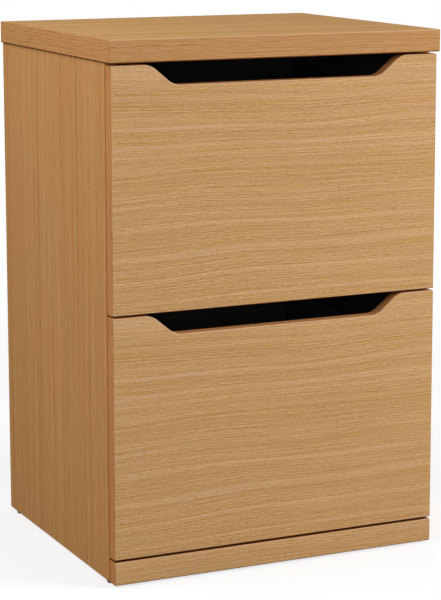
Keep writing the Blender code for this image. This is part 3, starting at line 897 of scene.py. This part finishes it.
class CABINET_OT_banded_boards(bpy.types.Operator):
    """Make the top panel, banded all round, and the plinth, whose long edges are tinted dark as painted
    shade
    """

    bl_idname = "cabinet.banded_boards"
    bl_label = "Top and Plinth"

    def execute(self, context):
        oak = context.scene.cabinet_oak
        sizes = context.scene.cabinet_fronts
        low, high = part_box("top_panel")
        origin = TOP_GRAIN
        rounding = (oak.board_edge_highlight, TOP_EDGE_GLOSS)
        finishes = [
            material("top_foil", make_veneer, oak, "XY", origin, oak.top_tint, TOP_WEIGHTS),
            material("top_band_across", make_edge_band, oak, oak.board_band, "XZ", origin),
            material("top_band_deep", make_edge_band, oak, oak.end_band, "YZ", origin),
            material("top_rounded", make_rounded_edge, oak, oak.board_band, "XZ", origin, *rounding),
            material("top_core", make_edge_band, oak, oak.shade_line, "XZ", origin),
        ]
        shape = board_shape(low, high, sizes.top_ease)
        mark_bands(shape, Z_AXIS, 1, Y_AXIS)
        top = piece("top_board", shape, finishes, "carcass")
        weigh_normals(top)
        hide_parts("top_panel")

        low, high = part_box("plinth_panel")
        origin = PLINTH_GRAIN
        rounding = (oak.board_edge_highlight, PLINTH_EDGE_GLOSS)
        finishes = [
            material("plinth_foil", make_veneer, oak, "XZ", origin),
            # The plinth's long edges take the dark line tint, painted shade for the gap under the lower
            # front
            material("plinth_band_across", make_edge_band, oak, oak.shade_line, "XY", origin),
            material("plinth_band_upright", make_edge_band, oak, oak.front_band, "ZY", origin),
            material("plinth_rounded", make_rounded_edge, oak, oak.front_band, "XY", origin, *rounding),
            material("plinth_core", make_edge_band, oak, oak.shade_line, "XY", origin),
        ]
        shape = board_shape(low, high, sizes.plinth_ease)
        mark_bands(shape, Y_AXIS, -1, Z_AXIS)
        plinth = piece("plinth_board", shape, finishes, "carcass")
        weigh_normals(plinth)
        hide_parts("plinth_panel")
        return {"FINISHED"}


class CABINET_OT_carcass(bpy.types.Operator):
    """Finish the side panels, base, back and cams"""

    bl_idname = "cabinet.carcass"
    bl_label = "Carcass"

    def execute(self, context):
        oak = context.scene.cabinet_oak
        fittings = context.scene.cabinet_fittings
        for hand, sign in HANDS.items():
            node = hand + "_side_panel"
            dress(node, material(hand + "_side_foil", make_side_board, oak, fittings, *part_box(node), sign))
        dress("base_panel", material("base_foil", make_veneer, oak, "XY", BASE_GRAIN))
        dress("back_panel", material("back_hardboard", make_hardboard, fittings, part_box("back_panel")[0]))
        cast = cam_metal(fittings)
        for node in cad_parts:
            if node.endswith("_cam"):
                dress(node, cast)
        return {"FINISHED"}


class CABINET_OT_glides(bpy.types.Operator):
    """Make the round glides that show under the side panels"""

    bl_idname = "cabinet.glides"
    bl_label = "Glides"

    def execute(self, context):
        fittings = context.scene.cabinet_fittings
        plastic = moulded_plastic(fittings)
        radius, rim = fittings.glide_radius, fittings.glide_rim
        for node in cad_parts:
            if not node.endswith("_glide"):
                continue
            low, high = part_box(node)
            rounded = [(radius - rim * (1 - cos(turn)), rim * (1 - sin(turn))) for turn in RIM_TURNS]
            chamfer = [(radius - CHAMFER, high.z), (radius, high.z - CHAMFER)]
            shape = turned([(0, high.z), *chamfer, *rounded, (0, 0)])
            middle = (low + high) / 2
            bmesh.ops.translate(shape, vec=(middle.x, middle.y, 0), verts=shape.verts)
            glide = piece(node + "_foot", shape, [plastic], "carcass")
            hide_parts(node)
        return {"FINISHED"}


class CABINET_OT_drawer_boxes(bpy.types.Operator):
    """Finish the drawer boxes and their file rails"""

    bl_idname = "cabinet.drawer_boxes"
    bl_label = "Drawer Boxes"

    def execute(self, context):
        fittings = context.scene.cabinet_fittings
        black = material("black_melamine", make_black_board, fittings)
        rail = rail_metal(fittings)
        for level in LEVELS:
            for board in ("left_side", "right_side", "back", "bottom"):
                dress(f"{level}_drawer_{board}", black)
            for hand in HANDS:
                dress(f"{level}_{hand}_file_rail", rail)
        return {"FINISHED"}


class CABINET_OT_slides(bpy.types.Operator):
    """Finish the telescopic slides, their ball cages and release levers"""

    bl_idname = "cabinet.slides"
    bl_label = "Slides"

    def execute(self, context):
        fittings = context.scene.cabinet_fittings
        zinc = zinc_plate(fittings)
        cage = material("cage_strip", make_metal, fittings.cage, *CAGE_STRIP)
        plastic = moulded_plastic(fittings)
        for level in LEVELS:
            for hand in HANDS:
                for member in ("cabinet_member", "middle_member", "drawer_member"):
                    dress(f"{level}_{hand}_{member}", zinc)
                for row in ("outer_cage", "inner_cage"):
                    dress(f"{level}_{hand}_{row}", cage)
                dress(f"{level}_{hand}_release_lever", plastic)
        return {"FINISHED"}


class CABINET_OT_slide_screws(bpy.types.Operator):
    """Put screws in the holes of the cabinet and drawer members of the slides"""

    bl_idname = "cabinet.slide_screws"
    bl_label = "Slide Screws"

    def execute(self, context):
        fittings = context.scene.cabinet_fittings
        zinc = zinc_plate(fittings)
        carcass_spots = []
        for level in LEVELS:
            drawer_spots = []
            for hand, sign in HANDS.items():
                low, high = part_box(f"{level}_{hand}_cabinet_member")
                middle = (low + high) / 2
                web = max(abs(low.x), abs(high.x)) - SLIDE_SHEET
                for y in CABINET_HOLES:
                    carcass_spots.append(((sign * web, middle.y + y, middle.z), (-sign, 0, 0)))
                low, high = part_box(f"{level}_{hand}_drawer_member")
                middle = (low + high) / 2
                web = min(abs(low.x), abs(high.x)) + SLIDE_SHEET
                for y in DRAWER_HOLES:
                    drawer_spots.append(((sign * web, middle.y + y, middle.z), (sign, 0, 0)))
            heads = scatter(cross_head(fittings.screw_radius, *DRAWER_SLIDE_HEAD), drawer_spots)
            piece(level + "_drawer_slide_screws", heads, [zinc], level + "_drawer")
        heads = scatter(cross_head(fittings.screw_radius, *CARCASS_SLIDE_HEAD), carcass_spots)
        piece("carcass_slide_screws", heads, [zinc], "carcass")
        return {"FINISHED"}


class CABINET_OT_box_fittings(bpy.types.Operator):
    """Put cams, screws, rail rivets and bumpers on the drawer boxes"""

    bl_idname = "cabinet.box_fittings"
    bl_label = "Drawer Box Fittings"

    def execute(self, context):
        fittings = context.scene.cabinet_fittings
        zinc = zinc_plate(fittings)
        cast = cam_metal(fittings)
        rail = rail_metal(fittings)
        clear = material("clear_silicone", make_silicone, fittings.silicone)
        for level in LEVELS:
            body = level + "_drawer"
            cams, screws, rivets, bumpers = [], [], [], []
            for hand, sign in HANDS.items():
                low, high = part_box(f"{level}_drawer_{hand}_side")
                inner = min(abs(low.x), abs(high.x))
                outer = max(abs(low.x), abs(high.x))
                for rise in CAM_RISES:
                    cams.append(((sign * inner, low.y + CAM_SETBACK, low.z + rise), (-sign, 0, 0)))
                for rise in BOX_SCREW_RISES:
                    screws.append(((sign * outer, high.y - BOX_SCREW_INSET, low.z + rise), (sign, 0, 0)))
                low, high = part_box(f"{level}_{hand}_file_rail")
                outer = max(abs(low.x), abs(high.x))
                for share in RIVET_SHARES:
                    y = low.y + share * (high.y - low.y)
                    rivets.append(((sign * outer, y, low.z + RIVET_RISE), (sign, 0, 0)))
                low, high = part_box(f"{level}_drawer_front")
                for z in (low.z + BUMPER_END_INSET, high.z - BUMPER_END_INSET):
                    bumpers.append(((sign * (high.x - BUMPER_SIDE_INSET), high.y, z), (0, 1, 0)))
            heads = scatter(cross_head(fittings.cam_radius, *CAM_HEAD), cams)
            piece(level + "_front_cams", heads, [cast], body)
            heads = scatter(cross_head(fittings.screw_radius, *BOX_SCREW_HEAD), screws)
            piece(level + "_back_screws", heads, [zinc], body)
            heads = scatter(dome(fittings.rivet_radius, RIVET_HEIGHT), rivets)
            piece(level + "_rail_rivets", heads, [rail], body)
            heads = scatter(dome(fittings.bumper_radius, fittings.bumper_height), bumpers)
            piece(level + "_bumpers", heads, [clear], body)
        return {"FINISHED"}


class CABINET_OT_back_screws(bpy.types.Operator):
    """Put the screws that hold the back panel to the base"""

    bl_idname = "cabinet.back_screws"
    bl_label = "Back Panel Screws"

    def execute(self, context):
        fittings = context.scene.cabinet_fittings
        zinc = zinc_plate(fittings)
        low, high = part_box("back_panel")
        spots = [((x, high.y, low.z + BACK_SCREW_RISE), (0, 1, 0)) for x in BACK_SCREW_PLACES]
        heads = scatter(cross_head(fittings.screw_radius, *BACK_SCREW_HEAD), spots)
        piece("back_panel_screws", heads, [zinc], "carcass")
        return {"FINISHED"}


SETTINGS = {
    "cabinet_oak": OakSettings,
    "cabinet_fronts": FrontSettings,
    "cabinet_fittings": FittingSettings,
    "cabinet_stage": StageSettings,
}
OPERATORS = (
    CABINET_OT_stage,
    CABINET_OT_drawer_fronts,
    CABINET_OT_banded_boards,
    CABINET_OT_carcass,
    CABINET_OT_glides,
    CABINET_OT_drawer_boxes,
    CABINET_OT_slides,
    CABINET_OT_slide_screws,
    CABINET_OT_box_fittings,
    CABINET_OT_back_screws,
)


class CABINET_PT_finish(bpy.types.Panel):
    """Sizes, colours and steps of the cabinet's finish"""

    bl_label = "Filing Cabinet"
    bl_idname = "CABINET_PT_finish"
    bl_space_type = "VIEW_3D"
    bl_region_type = "UI"
    bl_category = "Cabinet"

    def draw(self, context):
        for name, group in SETTINGS.items():
            box = self.layout.box()
            for setting in group.__annotations__:
                box.prop(getattr(context.scene, name), setting)
        for operator in OPERATORS:
            self.layout.operator(operator.bl_idname)


CLASSES = (*SETTINGS.values(), *OPERATORS, CABINET_PT_finish)


def register():
    for made in CLASSES:
        bpy.utils.register_class(made)
    for name, group in SETTINGS.items():
        setattr(bpy.types.Scene, name, PointerProperty(type=group))


def unregister():
    for name in SETTINGS:
        delattr(bpy.types.Scene, name)
    for made in reversed(CLASSES):
        bpy.utils.unregister_class(made)


def main():
    register()
    for operator in OPERATORS:
        family, step = operator.bl_idname.split(".")
        getattr(getattr(bpy.ops, family), step)()


if __name__ == "__main__":
    main()
